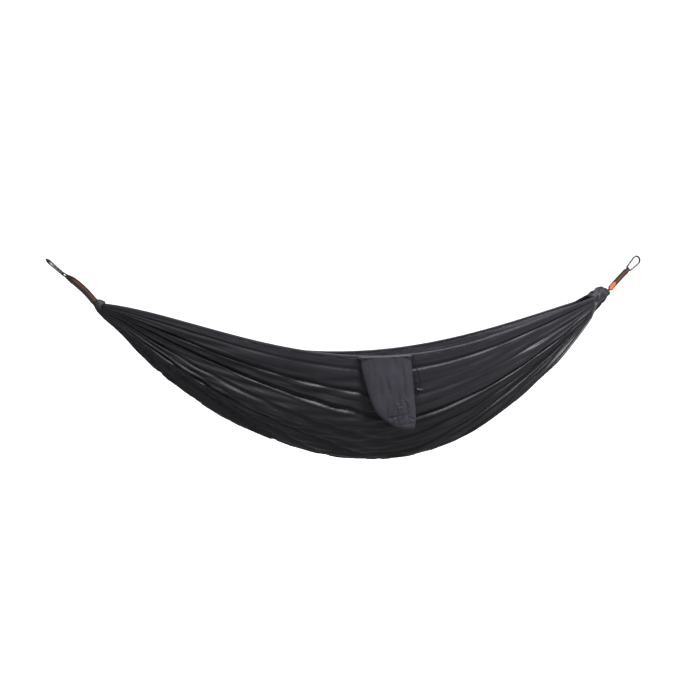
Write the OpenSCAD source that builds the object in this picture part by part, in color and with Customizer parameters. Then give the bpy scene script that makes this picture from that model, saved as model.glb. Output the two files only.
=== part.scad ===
// Camping hammock with gathered ends, webbing loops, two carabiners and a stuff pouch.
// It hangs empty. The origin is the inner face of the left carabiner's wide bow,
// +X runs to the same place on the right carabiner, and +Z is up.

/* [Bed] */
// Distance between the two gathered ends
bed_span = 2170; // [1900:10:2500]
// Depth of the bed's lowest line below the gathered ends
bed_sag = 684; // [560:2:800]
// Depth of the near rim's lowest point below the gathered ends
near_rim_sag = 195; // [150:1:240]
// Depth of the far rim's lowest point below the gathered ends
far_rim_sag = 265; // [200:1:300]
// Half of the bed's width across the rims
rim_half = 283; // [220:1:340]
// Thickness that the woven panel is drawn with
cloth_t = 2; // [1.6:0.1:3]
// Height of the rolled hems
hem_w = 10; // [6:0.5:16]
// How far a hem stands proud of the panel on each side
hem_proud = 0.5; // [0.3:0.1:1.5]
// Height of the main folds, from mean surface to crest
fold_height = 13; // [4:0.5:18]
// Number of main folds across the bed
fold_count = 5; // [4:1:6]
// Distance along the ridge from a gathered end to where the open bed starts
throat = 26; // [22:1:34]

/* [End channels] */
// Radius of the left bunched end channel
left_channel_r = 20; // [18:0.5:28]
// Radius of the right bunched end channel
right_channel_r = 25; // [18:0.5:30]
// Length of the bunched end channel
channel_len = 64; // [56:1:80]
// How far the channel's tip reaches past the gathered end
channel_nose = 10; // [6:0.5:14]

/* [Webbing loops] */
// Slope of the webbing loops above the horizontal, in degrees
strap_slope = 45; // [38:1:52]
// Length from the gathered end to the carabiner's base rod
strap_len = 150; // [130:1:180]
// Width of the webbing
strap_w = 25; // [22:0.5:28]
// Thickness of the webbing
strap_t = 1.6; // [1.2:0.1:2.2]
// How far the left loop bows upwards
left_bow = 7; // [0:0.5:10]
// How far the right loop bows upwards
right_bow = 2; // [0:0.5:10]
// Turn of the left carabiner about its loop, in degrees
left_twist = 70; // [40:1:80]
// Inner radius of the loop's lower bight
bight_r = 4.2; // [3.6:0.1:5]
// Length of the sewn overlap that closes a loop
tack_len = 25; // [16:1:26]

/* [Carabiners] */
// Diameter of the carabiner's rod
rod_d = 7; // [6:0.25:8]
// Straight stretch of the base that carries the webbing
base_len = 16; // [15:0.5:20]
// Centreline radius of the two base corners
corner_r = 4.5; // [4:0.25:6]
// Centreline radius of the wide bow
bow_r = 19; // [17:0.5:22]
// Distance from the base rod's axis to the bow's centre
bow_reach = 54; // [50:0.5:60]
// Diameter of the gate's rivet
rivet_d = 2; // [1.6:0.1:2.4]
// Thickness of the tongues that the gate closes over
tongue_t = 2.4; // [2:0.1:3]
// Bore inside the gate for its spring
gate_bore_d = 2.8; // [2.4:0.1:2.9]
// Length of the gate spring
gate_spring_len = 13; // [10:0.5:16]

/* [Pouch] */
// Place of the pouch's middle along the ridge, from the left gathered end
pouch_place = 1033; // [900:1:1200]
// Width of the pouch at its mouth
pouch_w = 196; // [170:1:220]
// Height of the pouch
pouch_h = 288; // [260:1:310]
// Depth of the pouch when slack
pouch_depth = 16; // [14:0.5:22]
// Thickness of the pouch's panels
panel_t = 1; // [0.8:0.1:1.5]
// Radius of the rolled edge round the pouch
binding_r = 1.6; // [1.4:0.1:2.2]
// Radius of the mouth's cord channel
mouth_r = 2.2; // [2:0.1:2.6]
// Thickness of the seam that carries the pouch
seam_t = 1.6; // [1.2:0.1:2.4]
// Width of the bare patch
label_w = 54; // [40:1:60]
// Height of the bare patch
label_h = 38; // [28:1:46]

/* [Drawstring] */
// Diameter of the drawstring
cord_d = 2.5; // [2:0.1:2.8]
// Spacing of the two strands where they run through the lock
strand_gap = 3.2; // [3:0.1:3.6]
// Outer diameter of the cord lock's barrel
barrel_d = 13; // [12:0.5:16]
// Length of the cord lock's barrel
barrel_len = 20; // [19:0.5:24]
// Diameter of the lock's plunger
plunger_d = 9; // [8.5:0.1:9.4]
// Travel of the lock's button
button_travel = 3; // [2:0.1:3.5]
// Radius of the knot under the lock
knot_r = 3.6; // [3.2:0.1:4.5]

/* [Fits] */
// Gap between pieces that move past each other
gap = 0.4; // [0.3:0.05:0.6]
// Radial clearance of the rivet in the carabiner's tongue
rivet_clear = 0.05; // [0.02:0.01:0.1]

/* [Hidden] */
$fn = 48;
cloth_black = [0.13, 0.13, 0.15];
webbing_black = [0.10, 0.10, 0.11];
rust = [0.45, 0.19, 0.08];
gunmetal = [0.22, 0.22, 0.24];

// ---- Curves of the hanging bed, for t from 0 at the left gathered end to 1 at the right ----
near_power = 1.8;      // the near rim stays high beside the ends
far_power = 1.1;
width_power = 0.8;
near_lean = -0.15;     // the lows lie a little left or right of the middle
far_lean = -0.03;
bottom_lean = 0.08;
bottom_shoulder = -0.25;
hem_lap = 2;           // how far a hem laps down over the panel's edge
cells_along = 24;
cells_across = 24;
anchor_reach = strap_len + bow_reach + bow_r - rod_d / 2;
end_x = anchor_reach * cos(strap_slope);
end_z = -anchor_reach * sin(strap_slope);
t_throat = throat / bed_span;

function smooth(a) = let (b = max(0, min(1, a))) b * b * (3 - 2 * b);
function mix(a, b, w) = a + (b - a) * w;
function lean(t) = 2 * t - 1;
function hump(t) = 4 * t * (1 - t);
function bottom_z(t) = -bed_sag * hump(t) * (1 + bottom_lean * lean(t) + bottom_shoulder * pow(lean(t), 3));
function near_z(t) = -near_rim_sag * pow(hump(t), near_power) * (1 + near_lean * lean(t));
function far_z(t) = -far_rim_sag * pow(hump(t), far_power) * (1 + far_lean * lean(t));
function half_at(t) = rim_half * pow(hump(t), width_power);

// The mean surface, for s from -1 at the near rim to 1 at the far rim.
function mean_yz(t, s) =
    let (top = mix(near_z(t), far_z(t), (s + 1) / 2) - hem_w)
    [half_at(t) * sin(90 * s), top + (bottom_z(t) - top) * cos(90 * s)];

// Outward direction of the mean surface, square to the ridge.
function out_yz(t, s) =
    let (step = 0.01, d = mean_yz(t, min(1, s + step)) - mean_yz(t, max(-1, s - step)), n = norm(d))
    [d[1] / n, -d[0] / n];

// Main folds: one family fans out of each end, and they trade places near the middle.
// They die away at the rims, which the hems hold straight, and in the throats.
function fold(t, s) =
    let (
        share = smooth(0.5 - lean(t) * 0.9),
        from_left = cos(360 * (fold_count * (s + 1) / 2 + 0.20 * lean(t)) + 20),
        from_right = cos(360 * (fold_count * (s + 1) / 2 + 0.25 * lean(t)) + 110),
        held = (1 - pow(s, 4)) * smooth(hump(t) / 0.35) * mix(1, 0.5, smooth((hump(t) - 0.7) / 0.3)))
    fold_height * held * mix(from_right, from_left, share);

function bed_point(t, s, sunk) =
    let (p = mean_yz(t, s) + out_yz(t, s) * (fold(t, s) - sunk))
    [end_x + bed_span * t, p[0], end_z + p[1]];

function t_at(i) = mix(t_throat, 1 - t_throat, i / cells_along);

// ---- Closed solids from grids and from rings ----
function grid_quads(nu, nv, base, flip) = [for (i = [0:nu - 1], j = [0:nv - 1])
    let (a = base + i * (nv + 1) + j, b = a + 1, c = a + nv + 2, d = a + nv + 1)
    each flip ? [[a, c, b], [a, d, c]] : [[a, b, c], [a, c, d]]];

function edge_quads(nu, nv) =
    let (m = (nu + 1) * (nv + 1))
    concat(
        [for (i = [0:nu - 1]) let (a = i * (nv + 1), b = a + nv + 1)
            each [[a, b, b + m], [a, b + m, a + m]]],
        [for (i = [0:nu - 1]) let (a = i * (nv + 1) + nv, b = a + nv + 1)
            each [[a, b + m, b], [a, a + m, b + m]]],
        [for (j = [0:nv - 1]) let (a = j, b = j + 1)
            each [[a, b + m, b], [a, a + m, b + m]]],
        [for (j = [0:nv - 1]) let (a = nu * (nv + 1) + j, b = a + 1)
            each [[a, b, b + m], [a, b + m, a + m]]]);

// A thin sheet between two grids of (nu + 1) by (nv + 1) points.
module sheet(front, back, nu, nv) {
    polyhedron(
        points = concat(front, back),
        faces = concat(grid_quads(nu, nv, 0, false), grid_quads(nu, nv, len(front), true),
            edge_quads(nu, nv)));
}

// A skin over rings of points, capped at both ends or closed on itself.
module skin(rings, closed = false) {
    n = len(rings);
    k = len(rings[0]);
    sides = [for (i = [0:n - (closed ? 1 : 2)], j = [0:k - 1])
        let (a = i * k + j, b = i * k + (j + 1) % k, c = ((i + 1) % n) * k + (j + 1) % k, d = ((i + 1) % n) * k + j)
        each [[a, b, c], [a, c, d]]];
    caps = closed ? [] : concat(
        [for (j = [1:k - 2]) [0, j + 1, j]],
        [for (j = [1:k - 2]) let (z = (n - 1) * k) [z, z + j, z + j + 1]]);
    polyhedron(points = [for (r = rings) each r], faces = concat(sides, caps));
}

// A round tube along a path that never runs parallel to the reference direction.
function tube_rings(path, r, sides, reference = [0, 1, 0]) = [for (i = [0:len(path) - 1])
    let (
        along = path[min(i + 1, len(path) - 1)] - path[max(i - 1, 0)],
        tangent = along / norm(along),
        across = cross(tangent, reference),
        u = across / norm(across),
        v = cross(tangent, u))
    [for (j = [0:sides - 1]) path[i] + r * (u * cos(360 * j / sides) + v * sin(360 * j / sides))]];

// A smooth path through its points, with a number of steps between each two.
function through(points, steps) = concat(
    [for (i = [0:len(points) - 2], k = [0:steps - 1])
        let (
            p0 = points[max(i - 1, 0)], p1 = points[i],
            p2 = points[i + 1], p3 = points[min(i + 2, len(points) - 1)], w = k / steps)
        0.5 * (2 * p1 + (p2 - p0) * w + (2 * p0 - 5 * p1 + 4 * p2 - p3) * w * w
            + (3 * p1 - p0 - 3 * p2 + p3) * w * w * w)],
    [points[len(points) - 1]]);

// ---- Bed ----
module bed_panel() {
    color(cloth_black)
        sheet(
            [for (i = [0:cells_along], j = [0:cells_across]) bed_point(t_at(i), 2 * j / cells_across - 1, 0)],
            [for (i = [0:cells_along], j = [0:cells_across]) bed_point(t_at(i), 2 * j / cells_across - 1, cloth_t)],
            cells_along, cells_across);
}

// A rolled hem stands on the panel's edge, on the near side (-1) or the far side (1).
module hem(side) {
    color(cloth_black)
        skin([for (i = [0:cells_along])
            let (
                t = t_at(i),
                x = end_x + bed_span * t,
                outer = half_at(t) + hem_proud,
                inner = half_at(t) - cloth_t - hem_proud,
                top = end_z + (side < 0 ? near_z(t) : far_z(t)),
                a = [x, side * outer, top], b = [x, side * inner, top],
                low = top - hem_w - hem_lap,
                c = [x, side * inner, low], d = [x, side * outer, low])
            side < 0 ? [a, b, c, d] : [d, c, b, a]]);
}

module near_hem() {
    hem(-1);
}

module far_hem() {
    hem(1);
}

// ---- Ends: local +X runs along the webbing, +Y across its faces, +Z across its width ----
module at_end(side) {
    translate([side < 0 ? end_x : end_x + bed_span, 0, end_z])
        mirror([side < 0 ? 1 : 0, 0, 0])
            rotate([0, -strap_slope, 0])
                children();
}

leg_half = strap_t / 2 + 0.25;                  // the two legs lie together
eye_r = rod_d / 2 + gap + strap_t / 2;          // middle of the webbing round the rod
bight_mid_r = bight_r + strap_t / 2;
bight_x = channel_nose - channel_len * 0.36;    // middle of the lower bight, inside the channel
eye_w = base_len - 2 * gap;                     // the webbing bunches to this width on the rod
tack_start = 41;
tack_sink = 0.1;                                // the stitches pull the tail into the leg

function channel_profile(r, n) = [for (i = [0:n])
    let (a = 180 * i / n, bulge = pow(max(0, sin(a)), 0.75))
    [r * bulge, channel_nose - channel_len / 2 + channel_len / 2 * cos(a)]];

// Bunched end of the bed, sewn into a tunnel round the loop's bight.
module end_channel(side, r) {
    color(cloth_black)
        at_end(side)
            difference() {
                rotate([0, 90, 0])
                    rotate_extrude()
                        polygon(channel_profile(r, 18));
                difference() {
                    union() {
                        translate([bight_x, 0, 0])
                            cylinder(r = bight_mid_r + strap_t / 2 + gap, h = strap_w + 2 * gap, center = true);
                        translate([bight_x, -bight_mid_r - strap_t / 2 - gap, -strap_w / 2 - gap])
                            cube([channel_nose - bight_x + 1, 2 * bight_mid_r + strap_t + 2 * gap, strap_w + 2 * gap]);
                    }
                    translate([bight_x, 0, 0])
                        cylinder(r = bight_r - gap, h = strap_w + 4 * gap, center = true);
                }
            }
}

module left_end_channel() {
    end_channel(-1, left_channel_r);
}

module right_end_channel() {
    end_channel(1, right_channel_r);
}

// Half of the gap between the legs' middles, along the loop.
function leg_off(x) = x < 60
    ? mix(bight_mid_r, leg_half, smooth((x - bight_x) / (40 - bight_x)))
    : mix(leg_half, eye_r, smooth((x - (strap_len - 34)) / 34));
function web_w(x) = mix(strap_w, eye_w, smooth((x - (strap_len - 44)) / 34));
function web_turn(x, twist) = twist * smooth((x - 0.45 * strap_len) / (0.48 * strap_len));
function web_bow(x, bow) =
    let (w = max(0, min(1, (x - channel_nose) / (strap_len - channel_nose))))
    4 * bow * w * (1 - w);

// A point of the webbing: x along the loop, y across its faces, z across its width.
function web_point(x, y, z, twist, bow) =
    let (a = web_turn(x, twist))
    [x, y * cos(a) - z * sin(a), y * sin(a) + z * cos(a) + web_bow(x, bow)];

function web_ring(x, y, nx, ny, width, twist, bow) =
    let (h = strap_t / 2, w = width / 2)
    [
        web_point(x + nx * h, y + ny * h, -w, twist, bow),
        web_point(x + nx * h, y + ny * h, w, twist, bow),
        web_point(x - nx * h, y - ny * h, w, twist, bow),
        web_point(x - nx * h, y - ny * h, -w, twist, bow)
    ];

leg_steps = 40;
arc_steps = 8;
function leg_x(i) = mix(bight_x, strap_len, i / leg_steps);
function loop_rings(twist, bow) = concat(
    [for (i = [0:leg_steps]) web_ring(leg_x(i), leg_off(leg_x(i)), 0, 1, web_w(leg_x(i)), twist, bow)],
    [for (i = [1:arc_steps - 1]) let (a = 90 - 180 * i / arc_steps)
        web_ring(strap_len + eye_r * cos(a), eye_r * sin(a), cos(a), sin(a), eye_w, twist, bow)],
    [for (i = [leg_steps:-1:0]) web_ring(leg_x(i), -leg_off(leg_x(i)), 0, -1, web_w(leg_x(i)), twist, bow)],
    [for (i = [1:arc_steps - 1]) let (a = -90 - 180 * i / arc_steps)
        web_ring(bight_x + bight_mid_r * cos(a), bight_mid_r * sin(a), cos(a), sin(a), strap_w, twist, bow)]);

module left_strap() {
    color(rust)
        at_end(-1)
            skin(loop_rings(left_twist, left_bow), true);
}

module right_strap() {
    color(rust)
        at_end(1)
            skin(loop_rings(0, right_bow), true);
}

// The webbing's tail, sewn down on the far leg.
module strap_tack(side, twist, bow) {
    steps = 6;
    color(webbing_black)
        at_end(side)
            skin([for (i = [0:steps])
                let (x = tack_start + tack_len * i / steps)
                web_ring(x, leg_off(x) + strap_t - tack_sink, 0, 1, strap_w - 1, twist, bow)]);
}

module left_strap_tack() {
    strap_tack(-1, left_twist, left_bow);
}

module right_strap_tack() {
    strap_tack(1, 0, right_bow);
}

// ---- Carabiners: local +X from the base rod to the bow, +Z towards the gate, +Y through the ring ----
rod_r = rod_d / 2;
base_half = base_len / 2;
side_lean = asin((bow_r - corner_r) / norm([bow_reach - corner_r, base_half]))
    - atan2(base_half, bow_reach - corner_r);
side_start = [corner_r - corner_r * sin(side_lean), base_half + corner_r * cos(side_lean)];
side_end = [bow_reach - bow_r * sin(side_lean), bow_r * cos(side_lean)];
side_len = norm(side_end - side_start);
stub_len = 5;                                   // rod between the corner and the hinge
pin_at = stub_len + rod_r;                      // rivet, along the gate side
ear_r = rod_r - 0.3;
slot_len = ear_r + 0.7;                         // depth of the slots past the rivet
nose_len = 2;                                   // full rod left at the nose
shank_r = rod_r - 0.02;                         // the straight stretches are a hair slimmer than the bends
bite = 0.3;                                     // and reach this far into them
catch_at = side_len - nose_len - 2.6;

module at_carabiner(side, twist) {
    at_end(side)
        translate([strap_len, 0, 0])
            rotate([twist, 0, 0])
                children();
}

// Local +X runs along the gate side, from the corner to the nose, and +Z outwards.
module on_gate_side() {
    translate([side_start[0], 0, side_start[1]])
        rotate([0, -side_lean, 0])
            children();
}

module bend(r, from, to) {
    rotate([90, 0, 0])
        rotate([0, 0, from])
            rotate_extrude(angle = to - from)
                translate([r, 0])
                    circle(r = rod_r);
}

module rod_x(from, to, r = rod_r) {
    translate([from, 0, 0])
        rotate([0, 90, 0])
            cylinder(r = r, h = to - from);
}

// A flat tongue with a round end, about a point at x.
module tongue(x, from, half) {
    translate([0, tongue_t / 2, 0])
        rotate([90, 0, 0])
            linear_extrude(tongue_t)
                union() {
                    translate([x, 0])
                        circle(r = half);
                    translate([min(x, from), -half])
                        square([abs(x - from), 2 * half]);
                }
}

module carabiner_body(side, twist) {
    color(gunmetal)
        at_carabiner(side, twist) {
            cylinder(r = shank_r, h = base_len + 2 * bite, center = true);
            for (k = [-1, 1])
                translate([corner_r, 0, k * base_half])
                    mirror([0, 0, k < 0 ? 1 : 0])
                        bend(corner_r, 90 + side_lean, 180);
            mirror([0, 0, 1])
                on_gate_side()
                    rod_x(-bite, side_len + bite, shank_r);
            translate([bow_reach, 0, 0])
                bend(bow_r, -90 - side_lean, 90 + side_lean);
            on_gate_side() {
                rod_x(-bite, stub_len, shank_r);
                difference() {
                    tongue(pin_at, stub_len - 1, ear_r - 0.4);
                    translate([pin_at, 0, 0])
                        rotate([90, 0, 0])
                            cylinder(d = rivet_d + 2 * rivet_clear, h = rod_d, center = true);
                }
                rod_x(side_len - nose_len, side_len + bite, shank_r);
                intersection() {
                    tongue(catch_at, side_len - nose_len + 1, rod_r - 0.6);
                    translate([0, -rod_d, -1.2])
                        cube([side_len, 2 * rod_d, rod_d]);
                }
            }
        }
}

module gate(side, twist) {
    gate_end = side_len - nose_len - 0.6;
    color(gunmetal)
        at_carabiner(side, twist)
            on_gate_side()
                difference() {
                    intersection() {
                        rod_x(pin_at - rod_r - 1, gate_end);
                        translate([0, rod_d, 0])
                            rotate([90, 0, 0])
                                linear_extrude(2 * rod_d)
                                    union() {
                                        translate([pin_at, 0])
                                            circle(r = ear_r);
                                        translate([pin_at, -rod_d])
                                            square([gate_end, 2 * rod_d]);
                                    }
                    }
                    translate([pin_at - rod_d, -tongue_t / 2 - 0.3, -rod_d])
                        cube([rod_d + slot_len, tongue_t + 0.6, 2 * rod_d]);
                    translate([catch_at - rod_r, -tongue_t / 2 - 0.3, -1.5])
                        cube([rod_d + slot_len, tongue_t + 0.6, rod_d]);
                    translate([pin_at, 0, 0])
                        rotate([90, 0, 0])
                            cylinder(d = rivet_d, h = 2 * rod_d, center = true);
                    rod_x(pin_at, pin_at + slot_len + gate_spring_len, gate_bore_d / 2);
                }
}

// The rivet, with a low head on each side.
module gate_pin(side, twist) {
    color(gunmetal)
        at_carabiner(side, twist)
            on_gate_side()
                translate([pin_at, 0, 0])
                    rotate([90, 0, 0]) {
                        cylinder(d = rivet_d, h = rod_d, center = true);
                        for (k = [-1, 1])
                            translate([0, 0, k * (rod_r + 0.1)])
                                cylinder(d = rivet_d + 1.4, h = 0.8, center = true);
                    }
}

module gate_spring(side, twist) {
    color("silver")
        at_carabiner(side, twist)
            on_gate_side()
                difference() {
                    rod_x(pin_at + slot_len, pin_at + slot_len + gate_spring_len - 0.2, gate_bore_d / 2 - 0.1);
                    rod_x(pin_at, pin_at + slot_len + gate_spring_len, gate_bore_d / 2 - 0.6);
                }
}

module left_carabiner_body() {
    carabiner_body(-1, left_twist);
}

module left_gate() {
    gate(-1, left_twist);
}

module left_gate_pin() {
    gate_pin(-1, left_twist);
}

module left_gate_spring() {
    gate_spring(-1, left_twist);
}

module right_carabiner_body() {
    carabiner_body(1, 0);
}

module right_gate() {
    gate(1, 0);
}

module right_gate_pin() {
    gate_pin(1, 0);
}

module right_gate_spring() {
    gate_spring(1, 0);
}

// ---- Pouch: local origin in the middle of its hinge line, +X along it, -Y outwards ----
pouch_t = pouch_place / bed_span;
hinge_y = -half_at(pouch_t) - hem_proud - seam_t - gap;
hinge_z = end_z + near_z(pouch_t);
channel_wall_gap = 0.3;  // cord to the wall of its channel
mouth_back_y = -gap - panel_t - cord_d / 2 - channel_wall_gap;
mouth_front_y = -pouch_depth + mouth_r;
mouth_drop = 2.5;        // top of the channels below the hinge line
mouth_z = -mouth_r - mouth_drop;
mouth_over = 3.5;         // the channels run this far past the pouch's sides
mouth_half = pouch_w / 2 + mouth_over;
seam_reach = pouch_w / 2 + 4;
seam_h = hem_w;

module at_pouch() {
    translate([end_x + pouch_place, hinge_y, hinge_z])
        children();
}

// The two side edges, from the mouth down, as shares of the pouch's width and height.
left_edge = [[0, -0.50, 0], [0.2, -0.45, 0.21], [0.4, -0.35, 0.44], [0.6, -0.18, 0.73], [0.8, 0.12, 0.91], [1, 0.40, 1]];
right_edge = [[0, 0.50, 0], [0.2, 0.54, 0.25], [0.4, 0.575, 0.48], [0.6, 0.61, 0.70], [0.8, 0.625, 0.87], [1, 0.60, 0.99]];
function edge_at(edge, v) = [
    pouch_w * lookup(v, [for (e = edge) [e[0], e[1]]]),
    -pouch_h * lookup(v, [for (e = edge) [e[0], e[2]]])];

// A point of the pouch: u across, v down from the mouth, and its distance out.
pouch_top = -1.5;
function pouch_xz(u, v) = mix(edge_at(left_edge, v), edge_at(right_edge, v), u) + [0, pouch_top];
function puff(u, v) = pow(max(0, sin(180 * u)), 0.45) * sqrt(max(0, 1 - pow(v, 4)));
function front_y(u, v) = -mix(gap + 2 * panel_t, pouch_depth, puff(u, v));
function front_point(u, v, out) = let (p = pouch_xz(u, v)) [p[0], front_y(u, v) - out, p[1]];

panel_u = 12;
panel_v = 14;

module pouch_back() {
    color(cloth_black)
        at_pouch()
            sheet(
                [for (i = [0:panel_v], j = [0:panel_u])
                    let (p = pouch_xz(j / panel_u, i / panel_v)) [p[0], -gap - panel_t, p[1]]],
                [for (i = [0:panel_v], j = [0:panel_u])
                    let (p = pouch_xz(j / panel_u, i / panel_v)) [p[0], -gap, p[1]]],
                panel_v, panel_u);
}

front_top = 0.02;   // the front panel starts at the mouth hem
module pouch_front() {
    color(cloth_black)
        at_pouch()
            sheet(
                [for (i = [0:panel_v], j = [0:panel_u])
                    front_point(j / panel_u, mix(front_top, 1, i / panel_v), 0)],
                [for (i = [0:panel_v], j = [0:panel_u])
                    front_point(j / panel_u, mix(front_top, 1, i / panel_v), -panel_t)],
                panel_v, panel_u);
}

edge_steps = 12;
edge_path = concat(
    [for (i = [0:edge_steps]) edge_at(left_edge, mix(front_top, 1, i / edge_steps))],
    [mix(edge_at(left_edge, 1), edge_at(right_edge, 1), 0.5)],
    [for (i = [edge_steps:-1:0]) edge_at(right_edge, mix(front_top, 1, i / edge_steps))]);

module pouch_binding() {
    color(rust)
        at_pouch()
            skin(tube_rings([for (p = edge_path) [p[0], -gap - binding_r, p[1] + pouch_top]], binding_r, 6));
}

// Two channels along the mouth, joined round the left corner.
module mouth_path(r) {
    middle = (mouth_back_y + mouth_front_y) / 2;
    turn = (mouth_back_y - mouth_front_y) / 2;
    for (y = [mouth_back_y, mouth_front_y])
        translate([-mouth_half, y, mouth_z])
            rotate([0, 90, 0])
                cylinder(r = r, h = 2 * mouth_half);
    translate([-mouth_half, middle, mouth_z])
        rotate([0, 0, 90])
            rotate_extrude(angle = 180)
                translate([turn, 0])
                    circle(r = r, $fn = 24);
}

module pouch_mouth_hem() {
    color(cloth_black)
        at_pouch()
            difference() {
                mouth_path(mouth_r);
                mouth_path(cord_d / 2 + channel_wall_gap);
            }
}

module pouch_mouth_cord() {
    color(webbing_black)
        at_pouch()
            mouth_path(cord_d / 2);
}

label_u = 0.66;
label_v = 0.60;
module pouch_label() {
    nu = 6;
    nv = 5;
    du = label_w / pouch_w / 2;
    dv = label_h / pouch_h / 2;
    color(cloth_black)
        at_pouch()
            sheet(
                [for (i = [0:nv], j = [0:nu])
                    front_point(label_u + du * (2 * j / nu - 1), label_v + dv * (2 * i / nv - 1), 0.6)],
                [for (i = [0:nv], j = [0:nu])
                    front_point(label_u + du * (2 * j / nu - 1), label_v + dv * (2 * i / nv - 1), 0)],
                nv, nu);
}

// The seam allowance between the curved hem and the straight hinge line.
module pouch_seam() {
    steps = 8;
    color(cloth_black)
        skin([for (i = [0:steps])
            let (
                x = mix(-seam_reach, seam_reach, i / steps),
                t = (pouch_place + x) / bed_span,
                rim = end_z + near_z(t),
                back = -half_at(t) - hem_proud,
                front = hinge_y + gap,
                at = end_x + pouch_place + x)
            [[at, front, hinge_z - 0.5], [at, back, rim - 0.5], [at, back, rim - seam_h], [at, front, hinge_z - seam_h]]]);
}

// ---- Drawstring: one cord leaves the mouth's two channels, crosses, and loops under the lock ----
lock_z = -136;                       // height of the lock's middle, from the hinge line
lock_lean = 11.5;                    // the strands lean this far from the vertical, in degrees
lock_y = (mouth_back_y + mouth_front_y) / 2;
lock_x = 131;
// Each strand leaves one channel of the mouth and comes down to the lock beside its twin.
mouth_clear = 0.75;       // the strands begin this far from the channels' mouths
strand_start = mouth_half + mouth_clear;
front_route = [[strand_start, mouth_front_y, mouth_z], [105, -13.6, -5.8], [108, -13.2, -14], [112, -12.4, -32],
    [118, -11.4, -54], [127, -10.2, -74], [135, -9, -88]];
back_route = [[strand_start, mouth_back_y, mouth_z], [106, -3.2, -5.8], [110, -3.8, -15], [117, -4.8, -34],
    [125, -5.8, -56], [131, -6.8, -74], [134, -7.7, -88]];
loop_route = [[131, -8, -160], [135, -8, -167], [135, -8, -175], [130, -8, -179], [125, -8, -176], [123.5, -8, -168],
    [124.5, -8, -160]];

// A point of the straight pair of strands, at a distance below the lock's middle.
function pair_point(down, side) = [
    lock_x - down * sin(lock_lean) + side * strand_gap / 2 * cos(lock_lean),
    lock_y,
    lock_z - down * cos(lock_lean) - side * strand_gap / 2 * sin(lock_lean)];

straight = [-34, -26, -14, 0, 12, 17];
cord_route = concat(
    front_route,
    [for (d = straight) pair_point(d, 1)],
    loop_route,
    [for (i = [len(straight) - 1:-1:0]) pair_point(straight[i], -1)],
    [for (i = [len(back_route) - 1:-1:0]) back_route[i]]);

module drawstring() {
    color(webbing_black)
        at_pouch()
            skin(tube_rings(through(cord_route, 2), cord_d / 2, 8));
}

module drawstring_knot() {
    color(webbing_black)
        at_pouch()
            translate(pair_point(barrel_d / 2 + gap + knot_r, 0))
                sphere(r = knot_r);
}

// Lock: local +X along the barrel towards the button, +Z up along the strands.
module at_lock() {
    at_pouch()
        translate(pair_point(0, 0))
            rotate([0, lock_lean, 0])
                children();
}

slot_r = cord_d / 2 + gap;
stop_wall = 1.5;
button_cap_t = 2.5;
cavity_from = -barrel_len / 2 - 1 + stop_wall;
plunger_from = cavity_from + button_travel + 1.5;

// The way for both strands, longer by stretch towards the button.
module strand_slot(stretch) {
    translate([0, 0, -barrel_d])
        linear_extrude(2 * barrel_d)
            union() {
                translate([-strand_gap / 2, 0])
                    circle(r = slot_r);
                translate([strand_gap / 2 + stretch, 0])
                    circle(r = slot_r);
                translate([-strand_gap / 2, -slot_r])
                    square([strand_gap + stretch, 2 * slot_r]);
            }
}

module cord_lock_barrel() {
    color([0.05, 0.05, 0.05])
        at_lock()
            difference() {
                rod_x(-barrel_len / 2 - 1, barrel_len / 2 - 1, barrel_d / 2);
                rod_x(cavity_from, barrel_len, plunger_d / 2 + 0.2);
                strand_slot(0);
            }
}

module cord_lock_button() {
    cap_from = barrel_len / 2 - 1 + button_travel + gap;
    color([0.05, 0.05, 0.05])
        at_lock()
            difference() {
                union() {
                    rod_x(plunger_from, cap_from, plunger_d / 2);
                    rod_x(cap_from, cap_from + button_cap_t, barrel_d / 2 - 1);
                }
                strand_slot(button_travel);
            }
}

// The spring is drawn at its pressed length, against the barrel's closed end.
module cord_lock_spring() {
    color("silver")
        at_lock()
            difference() {
                rod_x(cavity_from, plunger_from - button_travel - 0.1, plunger_d / 2 - 0.6);
                rod_x(cavity_from - 1, plunger_from, plunger_d / 2 - 1.4);
            }
}

bed_panel();
near_hem();
far_hem();
left_end_channel();
right_end_channel();
left_strap();
right_strap();
left_strap_tack();
right_strap_tack();
left_carabiner_body();
left_gate();
left_gate_pin();
left_gate_spring();
right_carabiner_body();
right_gate();
right_gate_pin();
right_gate_spring();
pouch_seam();
pouch_back();
pouch_front();
pouch_binding();
pouch_mouth_hem();
pouch_mouth_cord();
pouch_label();
drawstring();
drawstring_knot();
cord_lock_barrel();
cord_lock_button();
cord_lock_spring();
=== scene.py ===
import math

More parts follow.
